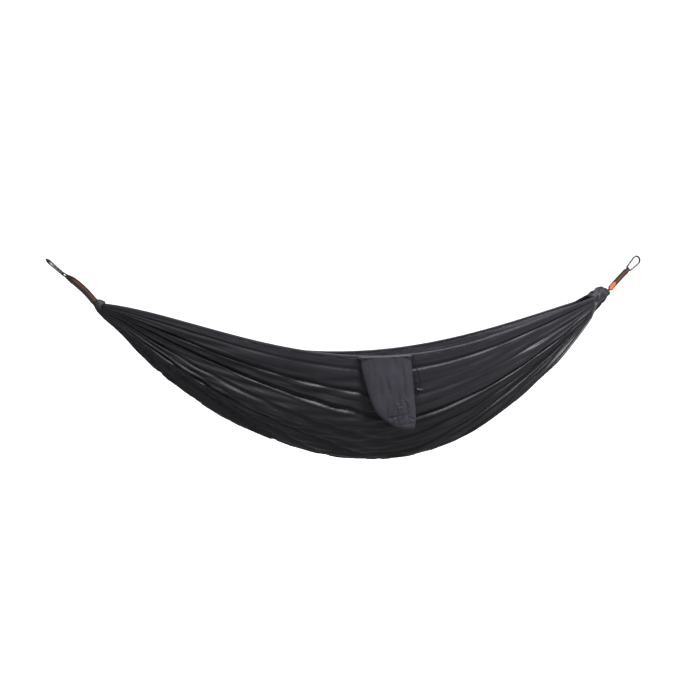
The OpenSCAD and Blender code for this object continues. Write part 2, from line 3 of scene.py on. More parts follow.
import bmesh
import bpy
import numpy as np
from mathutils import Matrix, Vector


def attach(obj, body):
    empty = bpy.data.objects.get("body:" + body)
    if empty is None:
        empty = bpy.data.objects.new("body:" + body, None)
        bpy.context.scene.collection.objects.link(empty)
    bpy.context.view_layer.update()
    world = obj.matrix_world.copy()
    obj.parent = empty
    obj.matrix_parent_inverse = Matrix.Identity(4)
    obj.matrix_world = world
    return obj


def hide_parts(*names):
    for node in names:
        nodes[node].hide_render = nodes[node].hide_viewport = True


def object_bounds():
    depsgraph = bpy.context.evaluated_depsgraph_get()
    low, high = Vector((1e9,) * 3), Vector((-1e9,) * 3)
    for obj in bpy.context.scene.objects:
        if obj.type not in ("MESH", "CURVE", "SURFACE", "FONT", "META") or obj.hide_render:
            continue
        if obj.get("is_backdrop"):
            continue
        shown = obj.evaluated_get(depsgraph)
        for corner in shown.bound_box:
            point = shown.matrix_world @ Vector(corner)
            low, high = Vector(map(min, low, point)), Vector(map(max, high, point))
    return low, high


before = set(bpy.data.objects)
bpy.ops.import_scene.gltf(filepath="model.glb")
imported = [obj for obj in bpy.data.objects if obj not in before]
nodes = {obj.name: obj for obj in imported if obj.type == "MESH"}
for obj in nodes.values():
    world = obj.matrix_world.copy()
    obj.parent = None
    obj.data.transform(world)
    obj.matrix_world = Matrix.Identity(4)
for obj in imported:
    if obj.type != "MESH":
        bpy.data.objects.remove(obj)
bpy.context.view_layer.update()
print("frame loaded,", len(nodes), "pieces")


def addObject(name, data):
    made = bpy.data.objects.new(name, data)
    bpy.context.scene.collection.objects.link(made)
    return made


def aim(thing, place, look):
    thing.location = place
    thing.rotation_mode = "QUATERNION"
    thing.rotation_quaternion = look.to_track_quat("-Z", "Y")


# ---- camera ----
cameraSet = {"place": (0.4652, -2.555, 0.0388), "turn": 14.5, "down": 8.82, "lens": 33.34}


def makeCamera():
    data = bpy.data.cameras.new("camera")
    data.lens = cameraSet["lens"]
    data.sensor_width = 36
    camera = addObject("camera", data)
    turn, down = math.radians(cameraSet["turn"]), math.radians(cameraSet["down"])
    look = Vector((math.sin(turn) * math.cos(down), math.cos(turn) * math.cos(down), -math.sin(down)))
    aim(camera, cameraSet["place"], look)
    bpy.context.scene.camera = camera


makeCamera()


# ---- mesh helpers ----
def gridFaces(rows, cols, wrap=False, flip=False):
    faces = []
    for i in range(rows - 1):
        for j in range(cols if wrap else cols - 1):
            k = (j + 1) % cols
            quad = (i * cols + j, i * cols + k, (i + 1) * cols + k, (i + 1) * cols + j)
            faces.append(quad[::-1] if flip else quad)
    return faces


def meshPiece(name, points, faces, uv=None, smooth=True):
    mesh = bpy.data.meshes.new(name)
    mesh.from_pydata([tuple(p) for p in points], [], faces)
    mesh.update()
    if smooth:
        mesh.shade_smooth()
    if uv is not None:
        layer = mesh.uv_layers.new(name="UVMap")
        corner = np.zeros(len(mesh.loops), np.int32)
        mesh.loops.foreach_get("vertex_index", corner)
        layer.data.foreach_set("uv", np.asarray(uv, np.float32)[corner].ravel())
    return addObject(name, mesh)


def gridPiece(name, grid, uv=None, wrap=False, flip=False, smooth=True):
    rows, cols = grid.shape[:2]
    return meshPiece(name, grid.reshape(-1, 3), gridFaces(rows, cols, wrap, flip),
                     None if uv is None else uv.reshape(-1, 2), smooth)


def closedFaces(rows, cols):
    last = (rows - 1) * cols
    return gridFaces(rows, cols, wrap=True) + [tuple(range(cols)), tuple(last + k for k in range(cols))]


def runAlong(line):
    return np.concatenate([[0], np.cumsum(np.linalg.norm(np.diff(np.asarray(line), axis=0), axis=1))])


def applyModifiers(piece):
    graph = bpy.context.evaluated_depsgraph_get()
    graph.update()
    mesh = bpy.data.meshes.new_from_object(piece.evaluated_get(graph))
    piece.modifiers.clear()
    piece.data = mesh
    return piece


def thicken(piece, thickness, offset=-1, insideSlot=0):
    wall = piece.modifiers.new("wall", "SOLIDIFY")
    wall.material_offset = insideSlot
    wall.thickness = thickness
    wall.offset = offset
    return applyModifiers(piece)


def finishPiece(piece, body, material, slot, *replaced):
    if material:
        piece.data.materials.clear()
        piece.data.materials.append(material)
    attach(piece, body)
    if replaced:
        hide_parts(*replaced)
    return piece


def smoothStep(a):
    b = np.clip(a, 0, 1)
    return b * b * (3 - 2 * b)


def rise(x, low, high):
    return smoothStep((x - low) / (high - low))


def mix(a, b, w):
    return a + (b - a) * w


def unit(rows):
    return rows / np.linalg.norm(rows, axis=1)[:, None]


def throughPoints(points, steps):
    pts = [np.array(p, float) for p in points]
    line = []
    for i in range(len(pts) - 1):
        p0, p1, p2, p3 = pts[max(i - 1, 0)], pts[i], pts[i + 1], pts[min(i + 2, len(pts) - 1)]
        for k in range(steps):
            w = k / steps
            line.append(0.5 * (2 * p1 + (p2 - p0) * w + (2 * p0 - 5 * p1 + 4 * p2 - p3) * w ** 2
                               + (3 * p1 - p0 - 3 * p2 + p3) * w ** 3))
    line.append(pts[-1])
    return np.array(line)


def tubeGrid(line, radius, sides, reference=(0, 1, 0)):
    line = np.asarray(line, float)
    along = unit(np.gradient(line, axis=0))
    across = unit(np.cross(along, np.array(reference, float)))
    up = np.cross(along, across)
    turn = np.arange(sides) * 2 * math.pi / sides
    radius = np.broadcast_to(np.asarray(radius, float), (len(line),))
    return line[:, None] + radius[:, None, None] * (across[:, None] * np.cos(turn)[None, :, None]
                                                    + up[:, None] * np.sin(turn)[None, :, None])


def tubePiece(name, line, radius, sides, reference=(0, 1, 0)):
    grid = tubeGrid(line, radius, sides, reference)
    uv = np.stack(np.broadcast_arrays(runAlong(line)[:, None], np.arange(sides)[None] / sides), axis=-1)
    return shell(name, grid, closedFaces(len(grid), sides), uv)


def outwards(piece):
    work = bmesh.new()
    work.from_mesh(piece.data)
    bmesh.ops.recalc_face_normals(work, faces=work.faces)
    work.to_mesh(piece.data)
    work.free()
    return piece


def shell(name, grid, faces, uv, smooth=True):
    return outwards(meshPiece(name, grid.reshape(-1, 3), faces, uv.reshape(-1, 2), smooth))


# ---- materials ----
class Finish:
    def __init__(self, name, colour, roughness, metallic=0.0, sheen=0.0, specular=0.5, sheenTint=None):
        self.material = bpy.data.materials.new(name)
        self.material.use_nodes = True
        self.tree = self.material.node_tree
        self.shader = self.tree.nodes["Principled BSDF"]
        self.shader.inputs["Base Color"].default_value = (*colour, 1)
        self.shader.inputs["Roughness"].default_value = roughness
        self.shader.inputs["Metallic"].default_value = metallic
        self.shader.inputs["Specular IOR Level"].default_value = specular
        self.shader.inputs["Sheen Weight"].default_value = sheen
        self.shader.inputs["Sheen Roughness"].default_value = 0.4
        if sheenTint:
            self.shader.inputs["Sheen Tint"].default_value = (*sheenTint, 1)

    def node(self, kind, **values):
        made = self.tree.nodes.new("ShaderNode" + kind)
        for key, value in values.items():
            if key in made.inputs:
                made.inputs[key].default_value = value
            else:
                setattr(made, key, value)
        return made

    def link(self, out, into):
        self.tree.links.new(out, into)

    def coordinates(self, scale=(1, 1, 1), useUv=False, turn=(0, 0, 0)):
        if useUv:
            source = self.node("UVMap").outputs["UV"]
        else:
            source = self.node("TexCoord").outputs["Object"]
        mapping = self.node("Mapping", Scale=scale, Rotation=turn)
        self.link(source, mapping.inputs["Vector"])
        return mapping.outputs["Vector"]

    def noise(self, scale, detail=3.0, roughness=0.5, where=None):
        made = self.node("TexNoise", Scale=scale, Detail=detail, Roughness=roughness)
        self.link(where or self.coordinates(), made.inputs["Vector"])
        return made.outputs["Fac"]

    def wave(self, where, direction):
        made = self.node("TexWave", wave_type="BANDS", bands_direction=direction, wave_profile="SIN",
                         Scale=0.5, Distortion=0.0, Detail=0.0)
        self.link(where, made.inputs["Vector"])
        return made.outputs["Fac"]

    def math(self, operation, a, b=None):
        made = self.node("Math", operation=operation)
        for place, value in ((0, a), (1, b)):
            if value is None:
                continue
            if isinstance(value, (int, float)):
                made.inputs[place].default_value = value
            else:
                self.link(value, made.inputs[place])
        return made.outputs[0]

    def span(self, value, low, high, first=0.0, last=1.0, kind="LINEAR"):
        made = self.node("MapRange", **{"interpolation_type": kind, "From Min": low, "From Max": high,
                                        "To Min": first, "To Max": last})
        self.link(value, made.inputs["Value"])
        return made.outputs[0]

    def band(self, value, low, high, soft=0.02):
        up = self.span(value, low - soft, low + soft, kind="SMOOTHSTEP")
        down = self.span(value, high - soft, high + soft, 1.0, 0.0, "SMOOTHSTEP")
        return self.math("MULTIPLY", up, down)

    def blendColour(self, fac, low, high):
        made = self.node("Mix", data_type="RGBA")
        if isinstance(fac, (int, float)):
            made.inputs[0].default_value = fac
        else:
            self.link(fac, made.inputs[0])
        for place, colour in ((6, low), (7, high)):
            if isinstance(colour, tuple):
                made.inputs[place].default_value = (*colour, 1)
            else:
                self.link(colour, made.inputs[place])
        return made.outputs[2]

    def colour(self, out):
        self.link(out, self.shader.inputs["Base Color"])

    def roughnessFrom(self, out, low, high):
        self.link(self.span(out, 0.0, 1.0, low, high), self.shader.inputs["Roughness"])

    def bump(self, height, strength, distance, below=None):
        made = self.node("Bump", Strength=strength, Distance=distance)
        self.link(height, made.inputs["Height"])
        if below is not None:
            self.link(below, made.inputs["Normal"])
        return made.outputs["Normal"]

    def relief(self, normal):
        self.link(normal, self.shader.inputs["Normal"])


clothLook = {"dark": (0.0165, 0.0155, 0.021), "light": (0.027, 0.0255, 0.034), "roughness": 0.45, "sheen": 0.04,
             "toneFrom": 0.32, "toneTo": 0.68, "weave": 0.0011, "ripstop": 0.006}


def hammockCloth(name, dark=None, light=None, streak=1.0):
    f = Finish(name, clothLook["light"], clothLook["roughness"], sheen=clothLook["sheen"], specular=0.28,
               sheenTint=(0.86, 0.84, 1.0))
    cloud = f.noise(9.0, 4.0, 0.55)
    fine = f.noise(140.0, 3.0, 0.6)
    tone = f.math("ADD", f.math("MULTIPLY", cloud, 0.6), f.math("MULTIPLY", fine, 0.4))
    spread = f.span(tone, clothLook["toneFrom"], clothLook["toneTo"])
    f.colour(f.blendColour(spread, dark or clothLook["dark"], light or clothLook["light"]))
    f.roughnessFrom(cloud, clothLook["roughness"] - 0.07, clothLook["roughness"] + 0.08)
    threads = f.coordinates((1 / clothLook["weave"],) * 3, useUv=True)
    weave = f.math("MULTIPLY", f.wave(threads, "X"), f.wave(threads, "Y"))
    grid = f.coordinates((1 / clothLook["ripstop"],) * 3, useUv=True)
    ribs = f.math("MAXIMUM", f.band(f.wave(grid, "X"), 0.93, 1.1), f.band(f.wave(grid, "Y"), 0.93, 1.1))
    crumple = f.noise(60.0, 5.0, 0.6)
    strain = f.noise(1.0, 4.0, 0.55, f.coordinates((5, 42, 1), useUv=True))
    wisp = f.noise(1.0, 3.0, 0.6, f.coordinates((14, 130, 1), useUv=True, turn=(0, 0, 0.05)))
    normal = f.bump(crumple, 0.3, 0.004)
    if streak:
        normal = f.bump(strain, 0.30 * streak, 0.012, normal)
        normal = f.bump(wisp, 0.16 * streak, 0.003, normal)
    normal = f.bump(weave, 0.25, 0.0002, normal)
    normal = f.bump(ribs, 0.25, 0.00015, normal)
    f.relief(normal)
    return f.material


def webbing(name, stripeFrom, stripeTo, stripe=(0.15, 0.046, 0.014), paintedLitPatch=None):
    f = Finish(name, (0.02, 0.02, 0.02), 0.7, sheen=0.2, specular=0.3)
    plain = f.node("UVMap").outputs["UV"]
    split = f.node("SeparateXYZ")
    f.link(plain, split.inputs[0])
    along, across = split.outputs["X"], split.outputs["Y"]
    ribs = f.wave(f.coordinates((1 / 0.0036, 0, 0), useUv=True), "X")
    yarn = f.wave(f.coordinates((1 / 0.0024, 22, 0), useUv=True), "DIAGONAL")
    rust = f.blendColour(ribs, tuple(0.18 * c for c in stripe), stripe)
    black = f.blendColour(yarn, (0.006, 0.006, 0.007), (0.018, 0.018, 0.021))
    woven = f.blendColour(f.band(across, stripeFrom, stripeTo, 0.03), black, rust)
    # painted light: a leaf near the gathered end blended to bright orange, standing in for the far leg's inner face lit
    # from above; the orange is the webbing's own colour, its brightness is painted
    if paintedLitPatch:
        far, wide = (f.math("ABSOLUTE", f.math("DIVIDE", f.math("SUBTRACT", value, middle), half))
                     for value, middle, half in ((along, paintedLitPatch[0], paintedLitPatch[1]), (across, paintedLitPatch[2], paintedLitPatch[3])))
        leaf = f.math("ADD", f.math("POWER", far, 2.4), f.math("POWER", wide, 2.0))
        woven = f.blendColour(f.band(leaf, -1.0, 1.0, 0.08), woven, paintedLitPatch[4])
    f.colour(woven)
    f.relief(f.bump(yarn, 0.5, 0.0003, f.bump(ribs, 0.7, 0.0005)))
    return f.material


def tape(name, colour):
    f = Finish(name, colour, 0.75, sheen=0.2)
    weave = f.wave(f.coordinates((1 / 0.0012,) * 3), "DIAGONAL")
    f.colour(f.blendColour(weave, tuple(0.5 * c for c in colour), colour))
    f.relief(f.bump(weave, 0.4, 0.0002))
    return f.material


def braid(name):
    f = Finish(name, (0.01, 0.01, 0.011), 0.75, specular=0.2)
    plait = f.coordinates((1 / 0.003, 4, 0), useUv=True)
    one = f.wave(plait, "DIAGONAL")
    two = f.wave(f.coordinates((1 / 0.003, -4, 0), useUv=True), "DIAGONAL")
    strands = f.math("MULTIPLY", one, two)
    f.colour(f.blendColour(strands, (0.004, 0.004, 0.004), (0.018, 0.017, 0.019)))
    f.relief(f.bump(strands, 0.9, 0.0005))
    return f.material


def anodised(name):
    f = Finish(name, (0.04, 0.04, 0.044), 0.34, metallic=0.75)
    wear = f.noise(90.0, 6.0, 0.65)
    scuff = f.noise(900.0, 2.0, 0.6)
    f.colour(f.blendColour(f.band(wear, 0.56, 1.0, 0.06), (0.035, 0.035, 0.04), (0.13, 0.13, 0.135)))
    f.roughnessFrom(wear, 0.26, 0.46)
    f.relief(f.bump(scuff, 0.12, 0.0001))
    return f.material


def plainSteel(name):
    f = Finish(name, (0.55, 0.55, 0.57), 0.32, metallic=1.0)
    brushed = f.noise(1.0, 3.0, 0.6, f.coordinates((300, 3000, 300)))
    f.roughnessFrom(brushed, 0.22, 0.42)
    f.relief(f.bump(brushed, 0.1, 0.0001))
    return f.material


def mouldedPlastic(name):
    f = Finish(name, (0.008, 0.008, 0.009), 0.5, specular=0.3)
    grain = f.noise(1400.0, 2.0, 0.5)
    f.colour(f.blendColour(f.noise(80.0), (0.006, 0.006, 0.007), (0.012, 0.012, 0.013)))
    f.roughnessFrom(f.noise(200.0), 0.36, 0.55)
    f.relief(f.bump(grain, 0.25, 0.0001))
    return f.material


cloth = hammockCloth("charcoalNylon")
# a darker, less streaked copy of the bed cloth for the inner face: painted shade on the hammock's inside
clothInsidePaintedShade = hammockCloth("charcoalNylonInsidePaintedShade", (0.010, 0.0095, 0.0125), (0.015, 0.0145, 0.019), 0.3)
pouchCloth = hammockCloth("pouchNylon", (0.022, 0.021, 0.028), (0.034, 0.033, 0.043), 0)
hemCloth = hammockCloth("hemNylon")
leftWebbing = webbing("leftWebbing", 0.52, 0.82)
# the right loop carries a painted lit patch: the bright orange leaf near its gathered end
rightWebbing = webbing("rightWebbing", 0.30, 0.68, paintedLitPatch=(0.043, 0.021, 0.54, 0.38, (0.60, 0.125, 0.022)))
cordBraid = braid("blackBraid")
gunmetal = anodised("gunmetalAnodised")
steel = plainSteel("springSteel")
lockPlastic = mouldedPlastic("blackPlastic")
rustThread = tape("rustThread", (0.16, 0.05, 0.022))
rustTape = tape("rustTape", (0.10, 0.035, 0.018))
print("materials made")

# ---- sizes that the solids share, in metres ----
hang = {"span": 2.170, "sag": 0.684, "nearSag": 0.195, "farSag": 0.265, "half": 0.283, "hem": 0.010, "hemProud": 0.0005,
        "nearPower": 1.8, "farPower": 1.1, "widthPower": 0.8, "nearLean": -0.15, "farLean": -0.03,
        "bottomLean": 0.08, "bottomShoulder": -0.25, "foldHeight": 0.013, "foldCount": 5}
loop = {"slope": 45, "length": 0.150, "width": 0.025, "thickness": 0.0016, "leftBow": 0.007, "rightBow": 0.002,
        "leftTwist": 70, "bight": 0.0042, "gap": 0.0004, "rod": 0.0035, "base": 0.016, "bowReach": 0.054, "bowR": 0.019}
bunch = {"length": 0.064, "nose": 0.010}
slope = math.radians(loop["slope"])
anchorReach = loop["length"] + loop["bowReach"] + loop["bowR"] - loop["rod"]
endX, endZ = anchorReach * math.cos(slope), -anchorReach * math.sin(slope)


# ---- the bed's cloth ----
pleats = {"count": 28, "seed": 7, "clothWidth": 1.40, "slack": 2.3, "steepest": 1.6, "least": 0.016, "valley": 0.30,
          "sweep": 0.8, "meet": 0.56, "meetWidth": 0.16, "crumple": 0.0019, "crumpleWaves": 26, "rows": 96, "cols": 396,
          "rowsFrom": 0.12, "clothThickness": 0.0004, "bunchSeed": 11}
# the lower edge drops towards the ends, as shares of the span and in metres
endDrop = {"left": 0.030, "leftReach": 0.045, "right": 0.014, "rightFrom": 0.75, "rightFull": 0.87}
# how the bunched ends look from the side: distance along the strap, top edge, lower edge
bunched = {"left": {"mouth": 0.012, "blend": 4, "rings": 8, "crumple": 0.0006,
                    "table": [(-0.027, 0.0185, -0.022), (-0.016, 0.018, -0.019), (-0.008, 0.017, -0.015),
                              (0.0, 0.0155, -0.013), (0.004, 0.012, -0.009)]},
           "right": {"mouth": 0.050, "blend": 7, "rings": 12, "crumple": 0.0022,
                     "table": [(-0.078, 0.057, -0.013), (-0.050, 0.054, -0.0135), (-0.025, 0.050, -0.0135),
                               (-0.008, 0.044, -0.0125), (0.002, 0.035, -0.0115), (0.008, 0.023, -0.010),
                               (0.012, 0.011, -0.008)]}}


def hump(t):
    return 4 * t * (1 - t)


def rimNear(t):
    return endZ - hang["nearSag"] * hump(t) ** hang["nearPower"] * (1 + hang["nearLean"] * (2 * t - 1))


def rimFar(t):
    return endZ - hang["farSag"] * hump(t) ** hang["farPower"] * (1 + hang["farLean"] * (2 * t - 1))


def bedBottom(t):
    lean = 2 * t - 1
    return endZ - hang["sag"] * hump(t) * (1 + hang["bottomLean"] * lean + hang["bottomShoulder"] * lean ** 3)


def bedHalf(t):
    return hang["half"] * hump(t) ** hang["widthPower"]


def clothBottom(t):
    left = endDrop["left"] * smoothStep(1 - t / endDrop["leftReach"])
    right = endDrop["right"] * rise(t, endDrop["rightFrom"], endDrop["rightFull"])
    return bedBottom(t) - left - right


def bedMean(t, s):
    top = mix(rimNear(t), rimFar(t), (s + 1) / 2) - hang["hem"]
    return bedHalf(t) * np.sin(s * math.pi / 2), top + (clothBottom(t) - top) * np.cos(s * math.pi / 2)


def bedOut(t, s):
    step = 0.01
    ya, za = bedMean(t, np.maximum(-1, s - step))
    yb, zb = bedMean(t, np.minimum(1, s + step))
    length = np.hypot(yb - ya, zb - za)
    return (zb - za) / length, -(yb - ya) / length


def mainFold(t, s):
    lean = 2 * t - 1
    share = smoothStep(0.5 - lean * 0.9)
    fromLeft = np.cos(2 * math.pi * (hang["foldCount"] * (s + 1) / 2 + 0.20 * lean) + math.radians(20))
    fromRight = np.cos(2 * math.pi * (hang["foldCount"] * (s + 1) / 2 + 0.25 * lean) + math.radians(110))
    held = (1 - s ** 4) * smoothStep(hump(t) / 0.35) * mix(1, 0.5, smoothStep((hump(t) - 0.7) / 0.3))
    return hang["foldHeight"] * held * mix(fromRight, fromLeft, share)


def perimeterAt(t):
    a, b = bedHalf(t), (rimNear(t) + rimFar(t)) / 2 - bedBottom(t)
    return math.pi * np.sqrt((a * a + b * b) / 2)


def pleatWave(phase):
    return 0.12 * np.cos(phase) - np.exp(-(np.sin(phase / 2) / pleats["valley"]) ** 2)


def rayShare(t, s, fromLeft):
    away = t if fromLeft else 1 - t
    return np.arccos(np.clip(np.cos(s * math.pi / 2) * (1 - away) ** pleats["sweep"], 0, 1)) / (math.pi / 2)


def pleatField(t, s, fromLeft):
    rng = np.random.default_rng(pleats["seed"] + (0 if fromLeft else 1))
    share = rayShare(t, s, fromLeft)
    warp = sum(rng.uniform(0.3, 0.7) / k * np.sin(k * math.pi * share * 1.7 + rng.uniform(0, 6.28))
               for k in range(1, 6))
    wander = sum(rng.uniform(0.2, 0.5) * np.sin(k * (s + 1) * 1.6 + 4 * t + rng.uniform(0, 6.28))
                 for k in range(1, 4))
    phase = math.pi * pleats["count"] * share + 2.6 * warp + 0.8 * wander + 0.9 * s
    a, b, c = rng.uniform(0, 6.28, 3)
    reach = 1 + 0.45 * np.sin(0.46 * phase + a) + 0.25 * np.sin(9 * t + 0.27 * phase + b)
    return (pleatWave(phase) + 0.22 * pleatWave(2.37 * phase + c)) * reach


def crumpleField(t, s):
    rng = np.random.default_rng(pleats["seed"] + 5)
    total = 0
    for k in range(pleats["crumpleWaves"]):
        across, along = rng.uniform(25, 130), rng.uniform(4, 45)
        total = total + np.sin(across * s + along * t * 2 + rng.uniform(0, 6.28)) / 3.2
    return total


def clothDrape(t, s):
    share = smoothStep((pleats["meet"] - t) / pleats["meetWidth"])
    spare = pleats["slack"] * (pleats["clothWidth"] - perimeterAt(t)) / (2 * pleats["count"])
    size = np.minimum(np.maximum(spare, pleats["least"]), pleats["steepest"] * perimeterAt(t) / pleats["count"])
    left, right = pleatField(t, s, True), pleatField(t, s, False)
    held = (1 - np.abs(s) ** 8) * (1 - 0.75 * np.exp(-(s / 0.2) ** 2) * smoothStep(hump(t) / 0.6))
    held = held * (1 - 0.6 * smoothStep((s - 0.35) / 0.4) * smoothStep(hump(t) / 0.7))
    small = pleats["crumple"] * crumpleField(t, s) * smoothStep(hump(t) / 0.3)
    return mainFold(t, s) + held * (size * mix(right, left, share) + small)


def endFrame(side):
    centre = np.array([endX if side < 0 else endX + hang["span"], 0, endZ])
    along = np.array([math.cos(slope) * side, 0, math.sin(slope)])
    lateral = np.array([-math.sin(slope) * side, 0, math.cos(slope)])
    return centre, along, lateral


def gatherRows(side, s):
    centre, along, lateral = endFrame(side)
    look = bunched["left" if side < 0 else "right"]
    t = look["mouth"] if side < 0 else 1 - look["mouth"]
    y, z = bedMean(t, s)
    ny, nz = bedOut(t, s)
    d = clothDrape(t, s)
    mouth = np.stack([np.full_like(s, endX + hang["span"] * t), y + ny * d, z + nz * d], axis=-1)
    wave = pleatField(t, s, side < 0)
    around = s * math.pi * 0.97
    table = np.array(look["table"])
    rng = np.random.default_rng(pleats["bunchSeed"] - side)
    turns = [(rng.uniform(2, 7), rng.uniform(60, 160), rng.uniform(0, 6.28)) for k in range(7)]

    def ring(p, shrink=1.0):
        top, low = np.interp(p, table[:, 0], table[:, 1]), np.interp(p, table[:, 0], table[:, 2])
        r = (top - low) / 2 * shrink
        rough = look["crumple"] * sum(np.sin(a * around + b * p + c) for a, b, c in turns) / 1.6
        rr = r * (1 + 0.09 * wave) + rough * min(1, r / 0.02)
        middle = centre + along * p + lateral * (top + low) / 2
        return middle[None] + (-lateral[None] * (rr * np.cos(around))[:, None]
                               + np.array([0, 0.9, 0])[None] * (rr * np.sin(around))[:, None])

    widest = ring(table[0, 0])
    rows = [mouth * (1 - w) + widest * w for w in (np.arange(1, look["blend"]) / look["blend"]) ** 0.8]
    rows += [ring(p) for p in np.linspace(table[0, 0], table[-1, 0], look["rings"])]
    rows += [ring(table[-1, 0] - 0.001, 0.7), ring(table[-1, 0] - 0.006, 0.45)]
    return np.array(rows)


def bedGrid():
    s = np.linspace(-1, 1, pleats["cols"])
    u = np.linspace(pleats["rowsFrom"], 1 - pleats["rowsFrom"], pleats["rows"])
    spacing = 0.5 - 0.5 * np.cos(math.pi * u) / math.cos(pleats["rowsFrom"] * math.pi)
    t = mix(bunched["left"]["mouth"], 1 - bunched["right"]["mouth"], spacing)
    tt, ss = np.meshgrid(t, s, indexing="ij")
    y, z = bedMean(tt, ss)
    ny, nz = bedOut(tt, ss)
    d = clothDrape(tt, ss)
    open_ = np.stack([endX + hang["span"] * tt, y + ny * d, z + nz * d], axis=-1)
    return np.concatenate([gatherRows(-1, s)[::-1], open_, gatherRows(1, s)], axis=0)


def frontUv(grid):
    return np.stack([grid[..., 0], grid[..., 2]], axis=-1)


def runLengths(grid):
    along = np.linalg.norm(np.diff(grid, axis=0), axis=2).mean(axis=1)
    along = np.concatenate([[0], np.cumsum(along)])
    middle = grid[len(grid) // 2]
    across = np.concatenate([[0], np.cumsum(np.linalg.norm(np.diff(middle, axis=0), axis=1))])
    return np.stack(np.meshgrid(along, across, indexing="ij"), axis=-1)


bedPoints = bedGrid()
bed = gridPiece("bedCloth", bedPoints, runLengths(bedPoints), flip=True)
# the inner face takes the darker copy, which is painted shade
for side in (cloth, clothInsidePaintedShade):
    bed.data.materials.append(side)
bed = thicken(bed, pleats["clothThickness"], insideSlot=1)
finishPiece(bed, "hammock", None, "cloth", "bed_panel", "left_end_channel", "right_end_channel")
print("bed cloth", len(bed.data.polygons), "faces")

# ---- hems ----
hemSet = {"thickness": 0.003, "round": 8, "lap": 0.002, "pucker": 0.0006, "endRows": 3, "fadeLeft": 9, "fadeRight": 14,
          "fadeTo": 0.25}


def hemLine(edge):
    col = 0 if edge < 0 else -1
    line = bedPoints[hemSet["endRows"]:-hemSet["endRows"], col].copy()
    fade = np.ones(len(line))
    fade[:hemSet["fadeLeft"]] = np.linspace(hemSet["fadeTo"], 1, hemSet["fadeLeft"])
    fade[-hemSet["fadeRight"]:] = np.linspace(1, hemSet["fadeTo"], hemSet["fadeRight"])
    return line, fade


def makeHem(name, edge, node):
    line, fade = hemLine(edge)
    turn = np.linspace(0, 2 * math.pi, hemSet["round"], endpoint=False)
    high = (hang["hem"] + hemSet["lap"]) / 2
    rng = np.random.default_rng(3 + edge)
    run = runAlong(line)
    pucker = hemSet["pucker"] * sum(np.sin(run * rng.uniform(60, 420) + rng.uniform(0, 6.28)) for k in range(6)) / 2
    profileY = np.sign(np.cos(turn)) * np.abs(np.cos(turn)) ** 0.6 * hemSet["thickness"] / 2
    profileZ = np.sign(np.sin(turn)) * np.abs(np.sin(turn)) ** 0.6 * high
    grid = np.zeros((len(line), hemSet["round"], 3))
    grid[..., 0] = line[:, 0, None]
    grid[..., 1] = line[:, 1, None] + profileY[None] * fade[:, None] + pucker[:, None]
    grid[..., 2] = line[:, 2, None] + (profileZ[None] + high - hemSet["lap"]) * fade[:, None]
    uv = np.stack(np.broadcast_arrays(run[:, None], turn[None] * 0.004), axis=-1)
    piece = shell(name, grid, closedFaces(len(line), hemSet["round"]), uv)
    finishPiece(piece, "hammock", hemCloth, "hem_cloth", node)
    return piece, grid


nearHem, nearHemGrid = makeHem("nearHem", -1, "near_hem")
farHem, farHemGrid = makeHem("farHem", 1, "far_hem")
print("hems made")


# ---- stitches laid along a line by Geometry Nodes ----
def stitchTree(name):
    tree = bpy.data.node_groups.new(name, "GeometryNodeTree")
    for label, kind, low in (("Geometry", "NodeSocketGeometry", None), ("Spacing", "NodeSocketFloat", 0.003),
                             ("Stitch Length", "NodeSocketFloat", 0.002), ("Thread Radius", "NodeSocketFloat", 0.0003),
                             ("Thread", "NodeSocketMaterial", None)):
        socket = tree.interface.new_socket(label, in_out="INPUT", socket_type=kind)
        if low is not None:
            socket.default_value = low
    tree.interface.new_socket("Geometry", in_out="OUTPUT", socket_type="NodeSocketGeometry")
    add, link = tree.nodes.new, tree.links.new
    source, result = add("NodeGroupInput"), add("NodeGroupOutput")
    toCurve, resample = add("GeometryNodeMeshToCurve"), add("GeometryNodeResampleCurve")
    resample.mode = "LENGTH"
    link(source.outputs["Geometry"], toCurve.inputs["Mesh"])
    link(toCurve.outputs["Curve"], resample.inputs["Curve"])
    link(source.outputs["Spacing"], resample.inputs["Length"])
    points = add("GeometryNodeCurveToPoints")
    points.mode = "EVALUATED"
    link(resample.outputs["Curve"], points.inputs["Curve"])
    sphere = add("GeometryNodeMeshUVSphere")
    sphere.inputs["Segments"].default_value = 6
    sphere.inputs["Rings"].default_value = 4
    sphere.inputs["Radius"].default_value = 1.0
    shape = add("ShaderNodeCombineXYZ")
    half = add("ShaderNodeMath")
    half.operation = "MULTIPLY"
    half.inputs[1].default_value = 0.5
    link(source.outputs["Stitch Length"], half.inputs[0])
    link(source.outputs["Thread Radius"], shape.inputs["X"])
    link(source.outputs["Thread Radius"], shape.inputs["Y"])
    link(half.outputs[0], shape.inputs["Z"])
    align = add("FunctionNodeAlignRotationToVector")
    align.axis = "Z"
    link(points.outputs["Tangent"], align.inputs["Vector"])
    instance = add("GeometryNodeInstanceOnPoints")
    link(points.outputs["Points"], instance.inputs["Points"])
    link(sphere.outputs["Mesh"], instance.inputs["Instance"])
    link(align.outputs["Rotation"], instance.inputs["Rotation"])
    link(shape.outputs["Vector"], instance.inputs["Scale"])
    realize, setMaterial = add("GeometryNodeRealizeInstances"), add("GeometryNodeSetMaterial")
    link(instance.outputs["Instances"], realize.inputs["Geometry"])
    link(realize.outputs["Geometry"], setMaterial.inputs["Geometry"])
    link(source.outputs["Thread"], setMaterial.inputs["Material"])
    link(setMaterial.outputs["Geometry"], result.inputs["Geometry"])
    return tree


stitching = stitchTree("stitchRow")


def setInput(modifier, label, value):
    for item in modifier.node_group.interface.items_tree:
        if item.item_type == "SOCKET" and item.in_out == "INPUT" and item.name == label:
            modifier[item.identifier] = value


